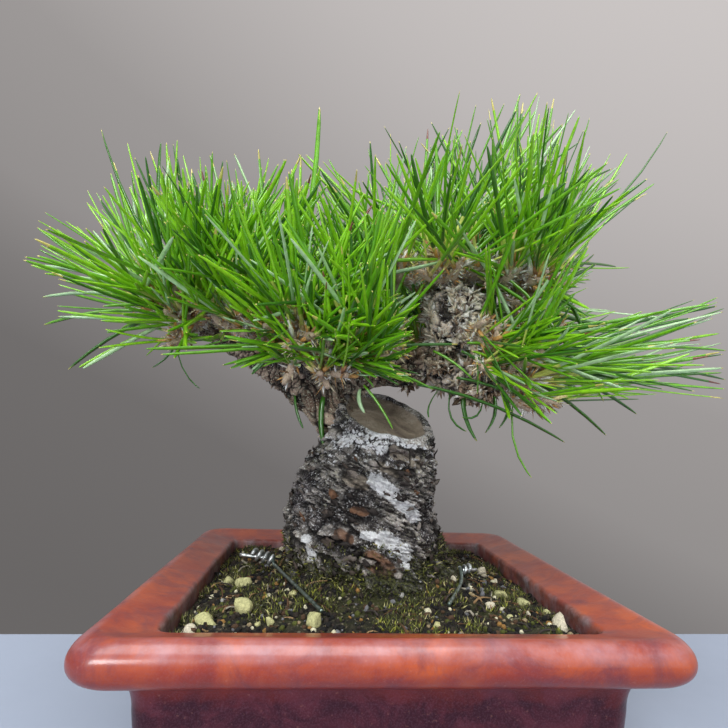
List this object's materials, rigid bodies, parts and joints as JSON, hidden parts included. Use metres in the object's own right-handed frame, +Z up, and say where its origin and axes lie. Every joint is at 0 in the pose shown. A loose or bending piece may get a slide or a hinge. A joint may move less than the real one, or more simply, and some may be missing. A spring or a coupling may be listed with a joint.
{
  "type": "japanese black pine bonsai in a square pot",
  "caption": "Small stout-trunked pine bonsai with spreading needled boughs, planted in a square rolled-rim pot on corner feet.",
  "frame": {"origin": "on the ground under the middle of the pot", "axes": "+Z up, +X to the right seen from the front, -Y towards the front, where the pruning cut faces"},
  "size_m": [0.2481, 0.16, 0.252],
  "materials": {
    "pot_clay": "satin red-brown glaze, worn and mottled",
    "screen": "matt",
    "soil": "damp grit with moss",
    "trunk_bark": "rough plated bark",
    "bough_bark": "rough scaly bark",
    "needles": "waxy green",
    "wire": "dull galvanised"
  },
  "bodies": {
    "root": {"pot": "pot_clay", "drain_screen": "screen", "soil": "soil", "trunk": "trunk_bark", "bough_left": "bough_bark", "bough_right": "bough_bark", "bough_apex": "bough_bark", "bough_low": "bough_bark", "bough_back": "bough_bark", "spur_front": "bough_bark", "spur_left": "bough_bark", "needles_left_tip": "needles", "needles_left_mid": "needles", "needles_front": "needles", "needles_apex": "needles", "needles_low": "needles", "needles_back": "needles", "tie_wire_left": "wire", "tie_wire_right": "wire"}
  },
  "joints": []
}
